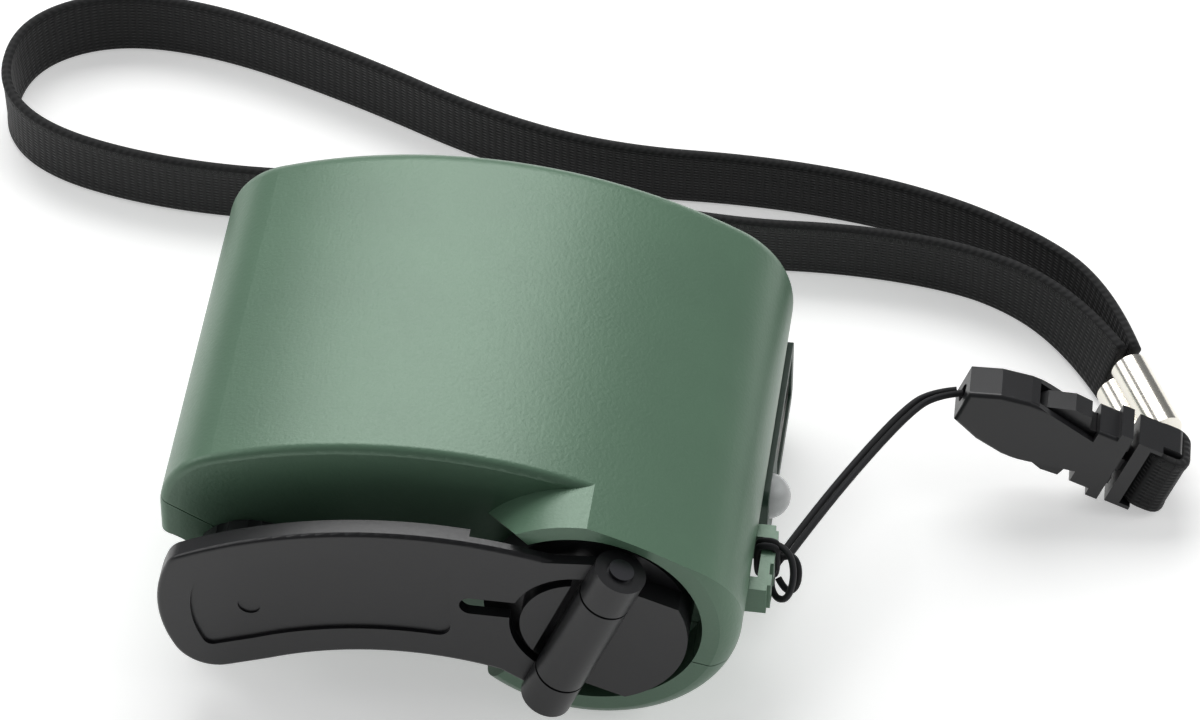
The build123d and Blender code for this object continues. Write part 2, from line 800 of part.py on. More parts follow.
def make_bearing_plate():
    """The plate behind the gears, cut to the inside of the housing."""
    plate = slab(housing_outline(wall + plate_edge_gap), plate_near, plate_far)
    plate -= block(lamp_back_x - lamp_lead_room, lobe_radius, 0, back_depth,
                   -lobe_radius, lamp_z + lamp_radius + lamp_room)
    first, second, third = gear_places()
    plate -= rod(shaft_radius + bush_wall, 0, 60)
    plate -= rod(axle_radius, 0, 60, *first)
    plate -= rod(axle_radius, 0, 60, *second)
    plate -= rod(generator_boss_radius + 0.1, 0, 60, *third)
    for place in standoffs:
        plate -= rod(plate_screw_head_radius, plate_far - plate_screw_head_depth, 60, *place)
        plate -= rod(screw_hole_radius, 0, 60, *place)
    for place in generator_screw_places():
        plate -= rod(plate_screw_head_radius, 0, plate_near + plate_screw_head_depth, *place)
        plate -= rod(screw_hole_radius, 0, 60, *place)
    return plate


def make_plate_screws():
    screws = []
    for place in standoffs:
        head = rod(plate_screw_head_radius - 0.1, plate_far - plate_screw_head_depth, plate_far - 0.1, *place)
        shank = rod(screw_core_radius, plate_near - plate_screw_bite + 0.4, plate_far - 0.5, *place)
        screws.append(head + shank)
    return screws


# ---- generator ----------------------------------------------------------------------------------
def generator_screw_places():
    """The screws sit either side of the generator's shaft."""
    centre = gear_places()[2]
    return [on_circle(centre, generator_screw_reach, angle) for angle in (60, 240)]


def make_generator_screws():
    screws = []
    for place in generator_screw_places():
        head = rod(plate_screw_head_radius - 0.1, plate_near + 0.1, plate_near + plate_screw_head_depth, *place)
        shank = rod(screw_core_radius, plate_near + 0.5, plate_far + can_wall, *place)
        screws.append(head + shank)
    return screws


def make_generator_can():
    centre = gear_places()[2]
    near = plate_far
    can = rod(generator_radius, near, near + generator_length, *centre)
    can -= rod(generator_radius - can_wall, near + can_wall, near + generator_length + 1, *centre)
    can += rod(generator_boss_radius, plate_near + 0.4, near + can_wall + 1, *centre)
    can -= rod(armature_shaft_radius + running_fit, 0, 60, *centre)
    for place in generator_screw_places():
        can -= rod(screw_core_radius, 0, near + can_wall + 0.01, *place)
    return can


def make_generator_cap():
    """The moulded cap that closes the can and carries the rear bearing."""
    centre = gear_places()[2]
    near = plate_far + generator_length
    cap = rod(generator_radius, near, near + cap_thickness, *centre)
    cap += rod(generator_radius - can_wall - 0.05, near - 1.5, near, *centre)
    cap -= rod(generator_radius - can_wall - 1.6, near - 2, near, *centre)
    return cap - rod(armature_shaft_radius + running_fit, 0, 60, *centre)


def make_magnets():
    centre = gear_places()[2]
    near = plate_far + can_wall + 0.6
    outer_r = generator_radius - can_wall
    ring = rod(outer_r, near, near + magnet_length, *centre)
    ring -= rod(outer_r - magnet_thickness, 0, 60, *centre)
    x, z = centre
    gap = block(x - 20, x + 20, 0, 60, z - magnet_side_gap, z + magnet_side_gap)
    return (ring - gap).solids()


armature_core_radius = generator_radius - can_wall - magnet_thickness - magnet_gap
core_near = plate_far + can_wall + 2.4


def make_armature_core():
    """Three laminated poles."""
    centre = gear_places()[2]
    core = rod(armature_core_radius, core_near, core_near + core_length, *centre)
    for angle in (60, 180, 300):
        x, z = on_circle(centre, armature_core_radius - 1.8, angle)
        core -= rod(coil_slot_radius, 0, 60, x, z)
        inner = on_circle(centre, armature_core_radius + 3, angle)
        mouth = make_face(Polyline((x - 0.5, z - 0.5), (x + 0.5, z - 0.5), inner, (x - 0.5, z - 0.5)))
        core -= slab(mouth, 0, 60)
    return core - rod(armature_shaft_radius, 0, 60, *centre)


def make_armature_coils():
    """The three wound coils in the slots, seen as plain rounded blocks."""
    centre = gear_places()[2]
    coils = []
    for angle in (60, 180, 300):
        place = on_circle(centre, armature_core_radius - 1.8, angle)
        coils.append(rod(coil_slot_radius - 0.1, core_near - 1.2, core_near + core_length + 1.2, *place))
    return coils


def make_armature_shaft():
    centre = gear_places()[2]
    return rod(armature_shaft_radius, layer(2) - 0.4, plate_far + generator_length + cap_thickness - 0.3, *centre)


def make_commutator():
    centre = gear_places()[2]
    near = core_near + core_length + 2.0
    return rod(commutator_radius, near, near + 2.6, *centre) - rod(armature_shaft_radius, 0, 60, *centre)


def make_generator_pinion():
    centre = gear_places()[2]
    _, _, to_third = gear_pair_directions()
    pinion = gear(pinion_teeth, pinion_phase(to_third), layer(2), centre)
    return pinion - rod(armature_shaft_radius, 0, 60, *centre)


# ---- board, socket, lamp ------------------------------------------------------------------------
def make_board():
    y0 = board_front_y
    y1 = y0 + board_width
    z0 = board_bottom
    z1 = board_bottom + board_thickness
    board = block(board_left_x, usb_back_x, y0, y1, z0, z1)
    board += block(usb_back_x, usb_back_x + board_over_usb, usb_y - usb_width / 2 + 0.1, usb_y + usb_width / 2,
                   z0, z1)
    for x in rib_places:
        board -= upright(board_screw_radius + 0.1, z0 - 1, z1 + 1, x, y0 + board_width / 2)
    return board


def make_board_screws():
    screws = []
    top = board_bottom + board_thickness
    for x in rib_places:
        y = board_front_y + board_width / 2
        shank = upright(board_screw_radius, board_bottom - board_screw_bite + 0.4, top, x, y)
        head = upright(board_screw_radius + 0.9, top, top + 0.8, x, y)
        screws.append(shank + head)
    return screws


def make_usb_socket():
    """The folded steel shell of the socket, open towards the panel."""
    y0, y1 = usb_y - usb_width / 2, usb_y + usb_width / 2
    z0, z1 = usb_z - usb_height / 2, usb_z + usb_height / 2
    socket = block(usb_back_x, usb_back_x + usb_length, y0, y1, z0, z1)
    hollow = block(usb_back_x + usb_back_wall, usb_back_x + usb_length + 1, y0 + usb_wall, y1 - usb_wall,
                   z0 + usb_wall, z1 - usb_wall)
    return socket - hollow


def make_usb_tongue():
    y0, y1 = usb_y - usb_tongue_width / 2, usb_y + usb_tongue_width / 2
    return block(usb_back_x + usb_back_wall, usb_back_x + usb_length - 2.0, y0, y1,
                 usb_z + 0.2, usb_z + 0.2 + usb_tongue_thickness)


def make_capacitor():
    z0 = board_bottom + board_thickness
    can = upright(capacitor_radius, z0, z0 + capacitor_height, capacitor_x, board_front_y + board_width / 2)
    return fillet(can.edges().filter_by(GeomType.CIRCLE).sort_by(Axis.Z)[-1], 0.5)


def make_regulator():
    z0 = board_bottom + board_thickness
    y = board_front_y + board_width / 2
    return block(usb_back_x + 2, usb_back_x + 8, y - 2.5, y + 2.5, z0, z0 + 1.5)


def make_lamp():
    """A clear five millimetre lamp: flange, barrel and dome, axis along x."""
    dome_x = panel_face_x + lamp_proud - lamp_radius
    lamp = along_x(lamp_radius, lamp_back_x, dome_x, lamp_y, lamp_z)
    lamp += Pos(dome_x, lamp_y, lamp_z) * Sphere(lamp_radius)
    lamp += along_x(lamp_flange_radius, lamp_back_x, lamp_back_x + lamp_flange_thickness, lamp_y, lamp_z)
    return lamp


def tube(points, radii, radius):
    """A wire or cord: straight runs joined by tangent arcs, round in section."""
    path = FilletPolyline(*points, radius=radii)
    start = Plane(origin=path @ 0, z_dir=path % 0)
    return sweep(start * Circle(radius), path=path)


def make_lamp_leads():
    leads = []
    for side in (-1.27, 1.27):
        y = lamp_y + side
        x = lamp_back_x - 3.0 + side
        points = [(lamp_back_x, y, lamp_z), (x, y, lamp_z), (x, y + 2.0, board_bottom + board_thickness / 2),
                  (x, board_front_y if x < usb_back_x else usb_y - usb_width / 2 + 0.1,
                   board_bottom + board_thickness / 2)]
        leads.append(tube(points, [0.8, 0.6], lead_radius))
    return leads


def make_generator_leads():
    centre = gear_places()[2]
    leads = []
    board_y = board_front_y + board_width / 2
    for side in (-1.0, 1.0):
        x = centre[0] + 6.0
        y = plate_far + generator_length + cap_thickness
        z = centre[1] + 2 * side
        points = [(x, y, z), (x, y + 2.0, z), (x + 6.5, y + 1.6, z - 1), (x + 9.0, board_y + side, board_bottom + 0.8),
                  (board_left_x, board_y + side, board_bottom + 0.8)]
        leads.append(tube(points, [0.9, 1.5, 1.5], lead_radius))
    return leads


# ---- lanyard ------------------------------------------------------------------------------------
def cord_radii(points):
    """The largest radius that fits each corner: 0.45 of its shorter run over the half turn's tangent."""
    radii = []
    for before, corner, after in zip(points, points[1:], points[2:]):
        first = Vector(*corner) - Vector(*before)
        second = Vector(*after) - Vector(*corner)
        half_turn = math.radians(first.get_angle(second)) / 2
        radii.append(0.45 * min(first.length, second.length) / math.tan(half_turn))
    return radii


strap_route = [
    (66.3, 31.8), (62.8, 41.3), (53.5, 49.2), (40.0, 54.2), (24.0, 56.2), (6.0, 55.6), (-9.0, 59.0),
    (-26.0, 66.6), (-43.0, 72.4), (-56.0, 72.8), (-64.6, 67.0), (-65.4, 57.0), (-59.6, 50.2),
    (-47.0, 46.8), (-32.0, 46.2), (-16.0, 48.6), (2.0, 48.0), (20.0, 45.8), (36.0, 46.8), (50.5, 44.8),
    (60.3, 38.4), (65.0, 31.4),
]
strand_route = [
    (32.95, -7.8, 12.6), (35.6, -1.4, 12.6), (39.5, 7.2, 12.4), (43.4, 14.6, 12.4), (46.0, 17.5, 12.7),
    (49.0, 17.9, 13.1),
]


def make_wrist_strap():
    """A flat strap that stands on its edge on the table, in one long loop."""
    height = strap_lift + strap_width / 2
    points = [(x, y, height) for x, y in strap_route]
    radii = cord_radii(points)
    print("strap radii", [round(radius, 1) for radius in radii])
    path = FilletPolyline(*points, radius=radii)
    start = Plane(origin=path @ 0, x_dir=(0, 0, 1), z_dir=path % 0)
    strap = sweep(start * Rectangle(strap_width, strap_thickness), path=path)
    print("strap length", round(path.length, 1), "volume over section times length",
          round(strap.volume / (strap_width * strap_thickness * path.length), 4))
    return strap


def make_lanyard_cord():
    """Two thin strands side by side, from the hitch on the lug to the nose of the buckle."""
    strands = []
    for side in (-1, 1):
        shift = side * (strand_radius + 0.03)
        points = [(x + 0.9 * shift, y - 0.44 * shift, z) for x, y, z in strand_route]
        radii = cord_radii(points)
        print("strand radii", [round(radius, 1) for radius in radii])
        strands.append(tube(points, radii, strand_radius))
    return strands


def make_lanyard_hitch():
    """Two turns of the thin cord around the lug's bar, between two of its ribs."""
    clear = strand_radius + 0.1
    x0 = lug_reach_x - lug_rib_height - lug_bar_thickness - clear
    x1 = lug_reach_x - lug_rib_height + clear
    rings = []
    rib_width = lug_length / 6
    middle_y = lug_front_depth + 4 * rib_width
    for side in (-1, 1):
        y = middle_y + side * (strand_radius + 0.01)
        outline = Pos((x0 + x1) / 2, (lug_bottom + lug_top) / 2) * RectangleRounded(
            x1 - x0, lug_top - lug_bottom + 2 * clear, clear + 0.3)
        path = (Plane.XZ.offset(-y) * outline).wires()[0]
        start = Plane(origin=path @ 0, z_dir=path % 0)
        rings.append(sweep(start * Circle(strand_radius), path=path))
    return rings


buckle_place = Pos(*buckle_nose) * Rot(0, 0, buckle_turn) * Rot(0, buckle_pitch, 0) * Rot(buckle_roll, 0, 0)


def from_buckle(shape):
    """Moves what is drawn along the buckle's own axes to where the buckle lies."""
    return buckle_place * shape


def flat_part(points, near, far):
    """A plate drawn in the buckle's length and width, between two places in its thickness."""
    return extrude(Plane.XZ.offset(-far) * make_face(Polyline(*points, points[0])), amount=far - near)


def mirrored(points):
    """The outline through the points and their images below the buckle's middle line."""
    return points + [(x, -z) for x, z in reversed(points)]


def make_buckle_socket():
    """The socket half: a flat tapered case with a window in each edge and a flange at its mouth."""
    half = buckle_thickness / 2
    outline = mirrored([(0, nose_half_width), (3.2, 3.3), (latch_head_start - 1.5, socket_half_width),
                        (flange_start, socket_half_width)])
    case = flat_part(outline, -half, half)
    case = fillet(case.edges().filter_by(lambda e: abs(abs(e.center().Y) - half) < 0.001
                                         and e.center().X < flange_start - 0.1), 0.5)
    case += block(flange_start, socket_length, -half, half, -flange_half_width, flange_half_width)
    case -= block(5.0, socket_length + 1, -half + socket_wall, half - socket_wall,
                  -socket_half_width + 0.8, socket_half_width - 0.8)
    window_start = latch_head_start - 0.5
    window_end = latch_head_end + 1.2
    for side in (-1, 1):
        notch = [(window_start, socket_half_width - 0.1), (window_end, latch_line + 0.25), (window_end, 6),
                 (window_start, 6)]
        case -= flat_part([(x, side * z) for x, z in notch], -half - 1, half + 1)
        window = [(window_start, 0), (window_end, 0), (window_end, 6), (window_start, 6)]
        case -= flat_part([(x, side * z) for x, z in window], -half + socket_wall, half - socket_wall)
    case -= along_x(2 * strand_radius + 0.25, -1, 3.5, 0, 0)
    return from_buckle(case)


def make_buckle_plug():
    """The plug half: the frame that the webbing goes round, and its guide tongue."""
    half = buckle_thickness / 2
    frame = block(plug_start, plug_end, -half, half, -plug_half_width, plug_half_width)
    frame = fillet(frame.edges().filter_by(Axis.Y).filter_by(lambda e: e.center().X > plug_end - 0.1), 0.5)
    slot_far = webbing_slot_start + webbing_slot_length
    frame -= block(webbing_slot_start, slot_far, -half - 1, half + 1, -webbing_half_width - webbing_clear,
                   webbing_half_width + webbing_clear)
    sunk = strap_thickness + webbing_clear
    frame -= block(slot_far - 0.1, plug_end + 1, -half - 1, -half + sunk, -webbing_half_width - webbing_clear,
                   plug_half_width + 1)
    frame -= block(slot_far - 0.1, plug_end + 1, -half - 1, -half + sunk, -plug_half_width - 1, 0)
    frame += block(6.0, plug_start, -half + socket_wall + 0.3, half - socket_wall - 0.3, -0.8, 0.8)
    return from_buckle(frame)


def latch_outline():
    """The sprung arm: a thin leaf from the plug with a bowed head that shows in the window."""
    outer = latch_line + latch_thickness
    return [(latch_root, latch_line), (latch_root, outer), (latch_head_end + 0.4, outer),
            (latch_head_end, socket_half_width + 0.45), (latch_head_end - 2, socket_half_width + 0.6),
            (latch_head_start + 0.6, socket_half_width - 0.4), (latch_head_start, outer),
            (latch_head_start, latch_line)]


def make_latch(side):
    half = buckle_thickness / 2 - socket_wall - latch_gap
    points = [(x, side * z) for x, z in latch_outline()]
    return from_buckle(flat_part(points, -half, half))


def make_strap_end():
    """The webbing that goes round the plug's end bar and back to the sleeve."""
    half = buckle_thickness / 2
    outer_far = plug_end + webbing_clear + strap_thickness
    near = webbing_slot_start + webbing_clear
    y0 = -half
    y1 = half + webbing_clear + strap_thickness
    loop = block(near, outer_far, y0, y1, -webbing_half_width, webbing_half_width)
    loop = fillet(loop.edges().filter_by(Axis.Z), 0.55 * strap_thickness)
    loop -= block(near + strap_thickness, outer_far - strap_thickness, y0 + strap_thickness,
                  y1 - strap_thickness, -10, 10)
    return from_buckle(loop)


def make_sleeve():
    """The crimped sleeve: two fused rounds side by side across the strap."""
    middle_x = (webbing_slot_start + plug_end + strap_thickness) / 2
    back_of_loop = buckle_thickness / 2 + strap_thickness + webbing_clear + sleeve_gap
    start = (buckle_place * Pos(middle_x, back_of_loop, 0)).position
    first, last = strap_route[0], strap_route[-1]
    end = Vector((first[0] + last[0]) / 2, (first[1] + last[1]) / 2, strap_lift + strap_width / 2)
    along = (end - start).normalized()
    across = (buckle_place * Pos(0, 0, 1)).position - buckle_place.position
    across = across - along * across.dot(along)
    section = Pos(sleeve_lobe_spread, 0) * Circle(sleeve_lobe_radius)
    section += Pos(-sleeve_lobe_spread, 0) * Circle(sleeve_lobe_radius)
    print("from the webbing's loop to the strap's ends", round((end - start).length, 2))
    return extrude(Plane(origin=start, x_dir=across, z_dir=along) * section, amount=sleeve_length)


# ---- frame and files ----------------------------------------------------------------------------
right_reach = panel_face_x + lamp_proud
front_reach = hinge_axis_depth - knuckle_radius
shaft_x = -(left_end + right_reach) / 2
face_y = -(front_reach + back_depth) / 2
shaft_z = lobe_radius
to_frame = Pos(shaft_x, face_y, shaft_z)
print("crank shaft axis at x, z and hub face at y", shaft_x, shaft_z, face_y)

nodes = {
    "upper_shell": make_upper_shell(),
    "lower_shell": make_lower_shell(),
    "shell_screws": make_shell_screws(),
    "port_panel": make_port_panel(),
    "front_bush": make_front_bush(),
    "rear_bush": make_rear_bush(),
    "bearing_plate": make_bearing_plate(),
    "plate_screws": make_plate_screws(),
    "idler_axle_1": make_axle(0),
    "idler_axle_2": make_axle(1),
    "generator_can": make_generator_can(),
    "generator_cap": make_generator_cap(),
    "generator_magnets": make_magnets(),
    "generator_screws": make_generator_screws(),
    "circuit_board": make_board(),
    "board_screws": make_board_screws(),
    "usb_socket": make_usb_socket(),
    "usb_tongue": make_usb_tongue(),
    "capacitor": make_capacitor(),
    "regulator": make_regulator(),
    "lamp": make_lamp(),
    "lamp_leads": make_lamp_leads(),
    "generator_leads": make_generator_leads(),
    "crank_hub": make_hub(),
    "crank_shaft": make_crank_shaft(),
    "shaft_clip": make_shaft_clip(),
    "drive_gear": make_drive_gear(),
    "hinge_pin": make_hinge_pin(),
    "crank_arm": make_arm(),
    "knob_rivet": make_rivet(),
    "crank_knob": make_knob(),
    "idler_gear_1": make_idler(0),
    "idler_gear_2": make_idler(1),
    "armature_shaft": make_armature_shaft(),
    "armature_core": make_armature_core(),
    "armature_coils": make_armature_coils(),
    "commutator": make_commutator(),
    "generator_pinion": make_generator_pinion(),
}

lanyard = {
    "lanyard_hitch": [to_frame * ring for ring in make_lanyard_hitch()],
    "lanyard_cord": make_lanyard_cord(),
    "buckle_socket": make_buckle_socket(),
    "buckle_plug": make_buckle_plug(),
    "latch_arm_upper": make_latch(1),
    "latch_arm_lower": make_latch(-1),
    "strap_end": make_strap_end(),
    "crimp_sleeve": make_sleeve(),
    "wrist_strap": make_wrist_strap(),
}


def write_node(name, shape, place):
    """Writes one node, as a single solid or as a group of solids."""
    solids = [place * solid for solid in (shape if isinstance(shape, list) else shape.solids())]
    export_step(solids[0] if len(solids) == 1 else Compound(solids), f"parts/{name}.step")


os.makedirs("parts", exist_ok=True)
for name, shape in nodes.items():
    write_node(name, shape, to_frame)
for name, shape in lanyard.items():
    write_node(name, shape, Pos(0, 0, 0))
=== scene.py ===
import bpy
import json
import math
from mathutils import Euler, Matrix, Vector


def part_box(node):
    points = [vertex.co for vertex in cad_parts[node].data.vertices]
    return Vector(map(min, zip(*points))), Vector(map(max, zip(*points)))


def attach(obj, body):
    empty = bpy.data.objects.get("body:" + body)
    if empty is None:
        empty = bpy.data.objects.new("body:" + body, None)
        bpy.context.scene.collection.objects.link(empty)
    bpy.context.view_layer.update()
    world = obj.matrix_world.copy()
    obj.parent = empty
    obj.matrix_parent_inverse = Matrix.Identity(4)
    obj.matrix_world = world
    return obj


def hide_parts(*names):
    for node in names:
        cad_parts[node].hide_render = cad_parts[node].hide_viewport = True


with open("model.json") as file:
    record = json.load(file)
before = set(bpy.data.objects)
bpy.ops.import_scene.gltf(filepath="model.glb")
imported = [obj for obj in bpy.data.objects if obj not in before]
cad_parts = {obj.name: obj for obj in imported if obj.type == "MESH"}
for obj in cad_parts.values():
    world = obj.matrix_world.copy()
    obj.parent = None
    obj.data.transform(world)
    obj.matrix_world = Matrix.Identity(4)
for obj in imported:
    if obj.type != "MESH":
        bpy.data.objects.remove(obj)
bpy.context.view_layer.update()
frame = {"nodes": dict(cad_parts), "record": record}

# A hand crank phone charger on a pale table. Lengths are written in millimetres and turned to metres.
MM = 0.001
PLASTIC_IOR = 1.5
# A wave texture of scale 1 has its bands this far apart.
WAVE_PERIOD = 0.314


def hex_to_linear(code):
    """An sRGB hex colour as linear red, green, blue and an alpha of one."""
    channels = [int(code[i:i + 2], 16) / 255 for i in (1, 3, 5)]
    linear = [c / 12.92 if c <= 0.04045 else ((c + 0.055) / 1.055) ** 2.4 for c in channels]
    return (*linear, 1.0)


def add(tree, kind, inputs=None, **settings):
    """Adds a node, sets its properties, and fills or links its inputs."""
    made = tree.nodes.new(kind)
    for name, value in settings.items():
        setattr(made, name, value)
    for name, value in (inputs or {}).items():
        if isinstance(value, bpy.types.NodeSocket):
            tree.links.new(value, made.inputs[name])
        else:
            made.inputs[name].default_value = value
    return made


def new_material(name):
    """An empty material: its node tree and its shader."""
    material = bpy.data.materials.new(name)
    material.use_nodes = True
    tree = material.node_tree
    tree.nodes.clear()
    shader = add(tree, "ShaderNodeBsdfPrincipled")
    output = add(tree, "ShaderNodeOutputMaterial")
    tree.links.new(shader.outputs["BSDF"], output.inputs["Surface"])
    return material, tree, shader


def per_mm(spacing):
    """The texture scale whose features are this many millimetres apart."""
    return 1 / (spacing * MM)


def mottle(tree, shader, light, dark, patch, grain, depth):
    """Two close tones in soft patches, and a fine grain in relief, both sized in millimetres."""
    where = add(tree, "ShaderNodeTexCoord").outputs["Object"]
    patches = add(tree, "ShaderNodeTexNoise", {"Vector": where, "Scale": per_mm(patch), "Detail": 4.0})
    tone = add(tree, "ShaderNodeMix", {"Factor": patches.outputs["Fac"]}, data_type="RGBA")
    tone.inputs["A"].default_value = hex_to_linear(dark)
    tone.inputs["B"].default_value = hex_to_linear(light)
    tree.links.new(tone.outputs["Result"], shader.inputs["Base Color"])
    pits = add(tree, "ShaderNodeTexNoise", {"Vector": where, "Scale": per_mm(grain), "Detail": 2.0})
    relief = add(tree, "ShaderNodeBump", {"Height": pits.outputs["Fac"], "Distance": depth * MM,
                                          "Strength": 0.6})
    tree.links.new(relief.outputs["Normal"], shader.inputs["Normal"])
    return pits


def uneven_gloss(tree, shader, pits, roughness, spread):
    """A roughness that follows the grain, this far to either side of its middle."""
    gloss = add(tree, "ShaderNodeMapRange", {"Value": pits.outputs["Fac"], "To Min": roughness - spread,
                                             "To Max": roughness + spread})
    tree.links.new(gloss.outputs["Result"], shader.inputs["Roughness"])


def lacquered_abs(name, light, dark, roughness):
    """Moulded ABS under a thin metallic lacquer: a satin bloom, a fine orange peel, darker in patches."""
    material, tree, shader = new_material(name)
    pits = mottle(tree, shader, light, dark, patch=9.0, grain=0.4, depth=0.06)
    shader.inputs["Metallic"].default_value = 0.15
    shader.inputs["IOR"].default_value = PLASTIC_IOR
    shader.inputs["Coat Weight"].default_value = 0.25
    shader.inputs["Coat Roughness"].default_value = 0.3
    uneven_gloss(tree, shader, pits, roughness, spread=0.06)
    return material


def moulded_plastic(name, light, dark, roughness, grain=0.35, depth=0.01):
    """Injection-moulded plastic with a fine spark-eroded grain and slightly uneven gloss."""
    material, tree, shader = new_material(name)
    pits = mottle(tree, shader, light, dark, patch=6.0, grain=grain, depth=depth)
    shader.inputs["IOR"].default_value = PLASTIC_IOR
    uneven_gloss(tree, shader, pits, roughness, spread=0.08)
    return material


def turned_metal(name, light, dark, roughness, line=0.15, depth=0.004):
    """Metal with fine tool lines that break up its reflections."""
    material, tree, shader = new_material(name)
    mottle(tree, shader, light, dark, patch=3.0, grain=line, depth=depth)
    shader.inputs["Metallic"].default_value = 1.0
    shader.inputs["Roughness"].default_value = roughness
    return material


def woven_webbing(name, light, dark, rib=0.9, thread=0.45):
    """Woven nylon tape: weft ribs across it, warp threads along it, and a matt fuzz."""
    material, tree, shader = new_material(name)
    where = add(tree, "ShaderNodeTexCoord").outputs["UV"]
    across = add(tree, "ShaderNodeTexWave", {"Vector": where, "Scale": WAVE_PERIOD / rib,
                                             "Distortion": 0.6, "Detail": 1.0}, bands_direction="X")
    along = add(tree, "ShaderNodeTexWave", {"Vector": where, "Scale": WAVE_PERIOD / thread,
                                            "Distortion": 0.4, "Detail": 1.0}, bands_direction="Y")
    weave = add(tree, "ShaderNodeMath", {0: across.outputs["Fac"], 1: along.outputs["Fac"]},
                operation="MULTIPLY")
    fuzz = add(tree, "ShaderNodeTexNoise", {"Vector": where, "Scale": 3.0, "Detail": 3.0})
    mixed = add(tree, "ShaderNodeMath", {0: weave.outputs[0], 1: fuzz.outputs["Fac"]}, operation="MULTIPLY")
    tone = add(tree, "ShaderNodeMix", {"Factor": mixed.outputs[0]}, data_type="RGBA")
    tone.inputs["A"].default_value = hex_to_linear(dark)
    tone.inputs["B"].default_value = hex_to_linear(light)
    tree.links.new(tone.outputs["Result"], shader.inputs["Base Color"])
    relief = add(tree, "ShaderNodeBump", {"Height": weave.outputs[0], "Distance": 0.12 * MM, "Strength": 0.8})
    tree.links.new(relief.outputs["Normal"], shader.inputs["Normal"])
    shader.inputs["Roughness"].default_value = 0.75
    shader.inputs["Sheen Weight"].default_value = 0.15
    shader.inputs["Sheen Roughness"].default_value = 0.4
    return material


def clear_epoxy(name):
    """The water-clear resin of a lamp: light goes through it, and a faint waviness bends its highlight."""
    material, tree, shader = new_material(name)
    shader.inputs["Base Color"].default_value = hex_to_linear("#f6f8f8")
    shader.inputs["Transmission Weight"].default_value = 0.35
    shader.inputs["Roughness"].default_value = 0.05
    shader.inputs["IOR"].default_value = PLASTIC_IOR
    cloud = add(tree, "ShaderNodeTexNoise", {"Scale": per_mm(2.0)})
    relief = add(tree, "ShaderNodeBump", {"Height": cloud.outputs["Fac"], "Distance": 0.01 * MM})
    tree.links.new(relief.outputs["Normal"], shader.inputs["Normal"])
    return material


finishes = {
    "shell_green": lacquered_abs("green_lacquered_abs", "#62846b", "#5a7963", 0.42),
    "dark_trim": moulded_plastic("dark_green_abs", "#2c4437", "#253b30", 0.5),
    "crank_plastic": moulded_plastic("charcoal_abs", "#222224", "#1c1c1e", 0.34),
    "steel": turned_metal("bright_zinc_plated_steel", "#b9b9b6", "#9c9c9a", 0.32),
    "brass_bush": turned_metal("sintered_bronze", "#b08c56", "#96743f", 0.4),
    "gear_plastic": moulded_plastic("natural_nylon", "#e3dfd2", "#d6d1c2", 0.45),
    "magnet": moulded_plastic("sintered_ferrite", "#3a3a3c", "#2c2c2e", 0.7),
    "board": moulded_plastic("green_solder_resist", "#2c6a3c", "#235a31", 0.4),
    "capacitor_can": turned_metal("sleeved_aluminium", "#a9adb4", "#9196a0", 0.35),
    "black_plastic": moulded_plastic("black_nylon", "#27272b", "#1f1f23", 0.42),
    "clear_lamp": clear_epoxy("clear_epoxy"),
    "copper_wire": turned_metal("enamelled_copper", "#b9703c", "#9c5626", 0.35),
    "lead_wire": moulded_plastic("pvc_wire_sleeve", "#8e1c1a", "#7a1412", 0.5),
    "cord_fabric": woven_webbing("braided_nylon_cord", "#26262d", "#0c0c10", rib=0.5, thread=0.4),
    "strap_fabric": woven_webbing("woven_nylon_tape", "#101114", "#050506"),
    "sleeve_white": turned_metal("polished_nickel_plate", "#f6f3ec", "#ece7da", 0.22, line=1.5, depth=0.001),
}
blackened_steel = turned_metal("blackened_steel", "#6a6a6e", "#58585c", 0.28)
slot_of = {entry["node"]: entry["material_slot"] for entry in frame["record"]["subparts"]}

for node_name, node_object in frame["nodes"].items():
    node_object.data.materials.clear()
    node_object.data.materials.append(finishes[slot_of[node_name]])
frame["nodes"]["hinge_pin"].data.materials[0] = blackened_steel
frame["nodes"]["knob_rivet"].data.materials[0] = finishes["crank_plastic"]


# Edges that turn by more than this many degrees are rounded.
SHARP_EDGE = 35


def soften_edges(node_name, width):
    """Rounds a moulded piece's sharp edges a little, as its mould does."""
    bevel = frame["nodes"][node_name].modifiers.new("mould_radius", "BEVEL")
    bevel.width = width * MM
    bevel.segments = 2
    bevel.limit_method = "ANGLE"
    bevel.angle_limit = math.radians(SHARP_EDGE)
    bevel.harden_normals = True


# ---- wrist strap, cord and buckle ---------------------------------------------------------------
STRAP_WIDTH = 8.0
STRAP_THICKNESS = 1.2
STRAP_HEIGHT = 4.1
# The share of the strap's length over which its two ends lean to the buckle's slant, and by how much.
LEAN_REACH, LEAN = 0.08, 0.8
# How far the standing strap sways from upright along its length.
SWAY = 0.06
STRAND_RADIUS = 0.375
STRAND_GAP = 0.03
BUCKLE_NOSE = Vector((49.3, 17.9, 13.0))
BUCKLE_TURN, BUCKLE_PITCH, BUCKLE_ROLL = (math.radians(angle) for angle in (-1.7, 21.9, -10.2))
BUCKLE_THICKNESS = 5.4
PLUG_END = 24.5
WEBBING_SLOT = 20.8
WEBBING_WIDTH = 7.6

